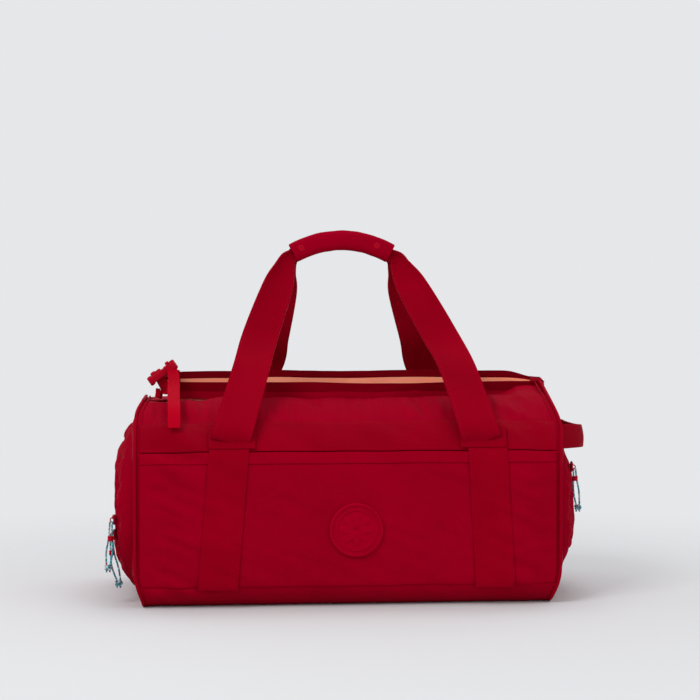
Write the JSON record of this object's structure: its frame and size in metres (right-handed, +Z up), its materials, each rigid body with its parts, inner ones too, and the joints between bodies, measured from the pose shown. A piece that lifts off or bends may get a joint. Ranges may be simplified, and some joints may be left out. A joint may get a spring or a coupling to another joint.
{
  "type": "travel duffel bag",
  "caption": "Soft red fabric travel bag with an open zipped mouth, carry handles with a wrapped grip, end pockets with corded zip pulls, and a webbing closure strap.",
  "frame": {"origin": "centre of the whole outline on the resting plane, under the base panel", "axes": "+X along the bag's length, -Y the front with the badge, +Z up"},
  "size_m": [0.5929, 0.2714, 0.459],
  "materials": {
    "body_fabric": "crinkled nylon weave",
    "webbing": "ribbed webbing",
    "piping": "woven",
    "zip_tape": "zip tape and coil",
    "lining": "smooth lining",
    "cord": "flecked braid",
    "red_plastic": "satin",
    "painted_zip": "satin",
    "badge": "matt moulded",
    "board": "plain"
  },
  "bodies": {
    "bag": {"back_panel": "body_fabric", "badge": "badge", "base_board": "board", "base_panel": "body_fabric", "belt_back": "webbing", "belt_front": "webbing", "belt_tabs_back": "webbing", "belt_tabs_front": "webbing", "end_panel_left": "body_fabric", "end_panel_right": "body_fabric", "front_panel": "body_fabric", "front_slip_pocket": "body_fabric", "grab_handle": "webbing", "left_pocket_face": "body_fabric", "left_pocket_gusset": "body_fabric", "left_pocket_zip": "zip_tape", "lining": "lining", "lip_facing_back": "lining", "lip_facing_front": "lining", "main_slider": "painted_zip", "mouth_lip_back": "body_fabric", "mouth_lip_front": "body_fabric", "panel_straps_back": "webbing", "panel_straps_front": "webbing", "piping_left": "piping", "piping_right": "piping", "pocket_hem": "body_fabric", "right_pocket_face": "body_fabric", "right_pocket_gusset": "body_fabric", "right_pocket_zip": "zip_tape", "top_yoke": "body_fabric", "zip_coil_back": "zip_tape", "zip_coil_front": "zip_tape", "zip_tail": "zip_tape"},
    "front_handle": {"front_handle": "webbing", "grip_wrap": "body_fabric", "grip_snap": "red_plastic"},
    "back_handle": {"back_handle": "webbing"},
    "closure": {"closure_strap": "webbing", "closure_buckle": "red_plastic", "closure_tail": "webbing"},
    "main_pull": {"main_pull_tab": "painted_zip"},
    "left_upper_slider": {"left_upper_slider": "painted_zip"},
    "left_upper_pull": {"left_upper_cord_outer": "cord", "left_upper_cord_inner": "cord", "left_upper_sleeve": "red_plastic", "left_upper_knot": "cord"},
    "left_lower_slider": {"left_lower_slider": "painted_zip"},
    "left_lower_pull": {"left_lower_cord_outer": "cord", "left_lower_cord_inner": "cord", "left_lower_sleeve": "red_plastic", "left_lower_knot": "cord"},
    "right_slider": {"right_slider": "painted_zip"},
    "right_pull": {"right_cord_outer": "cord", "right_cord_inner": "cord", "right_sleeve": "red_plastic", "right_knot": "cord"}
  },
  "joints": [
    {"name": "front_handle_fold", "type": "hinge", "parent": "bag", "child": "front_handle", "pos_m": [0, -0.134, 0.216], "axis": [1, 0, 0], "range_deg": [0, 150]},
    {"name": "back_handle_fold", "type": "hinge", "parent": "bag", "child": "back_handle", "pos_m": [0, 0.134, 0.216], "axis": [-1, 0, 0], "range_deg": [0, 150]},
    {"name": "closure_lift", "type": "hinge", "parent": "bag", "child": "closure", "pos_m": [-0.211, -0.121, 0.222], "axis": [1, 0, 0], "range_deg": [0, 110]},
    {"name": "main_pull_flip", "type": "hinge", "parent": "bag", "child": "main_pull", "pos_m": [0.2605, 0, 0.2645], "axis": [0, -1, 0], "range_deg": [0, 110]},
    {"name": "left_upper_zip_run", "type": "hinge", "parent": "bag", "child": "left_upper_slider", "pos_m": [-0.28, 0, 0.112], "axis": [-1, 0, 0], "range_deg": [0, 185]},
    {"name": "left_lower_zip_run", "type": "hinge", "parent": "bag", "child": "left_lower_slider", "pos_m": [-0.28, 0, 0.112], "axis": [1, 0, 0], "range_deg": [0, 30]},
    {"name": "right_zip_run", "type": "hinge", "parent": "bag", "child": "right_slider", "pos_m": [0.28, 0, 0.112], "axis": [1, 0, 0], "range_deg": [0, 80]},
    {"name": "left_upper_pull_lift", "type": "hinge", "parent": "left_upper_slider", "child": "left_upper_pull", "pos_m": [-0.288, -0.08453, 0.10312], "axis": [0, 1, 0], "range_deg": [0, 100]},
    {"name": "left_lower_pull_lift", "type": "hinge", "parent": "left_lower_slider", "child": "left_lower_pull", "pos_m": [-0.288, -0.08037, 0.08433], "axis": [0, 1, 0], "range_deg": [0, 100]},
    {"name": "right_pull_lift", "type": "hinge", "parent": "right_slider", "child": "right_pull", "pos_m": [0.288, -0.06877, 0.16196], "axis": [0, -1, 0], "range_deg": [0, 100]}
  ]
}
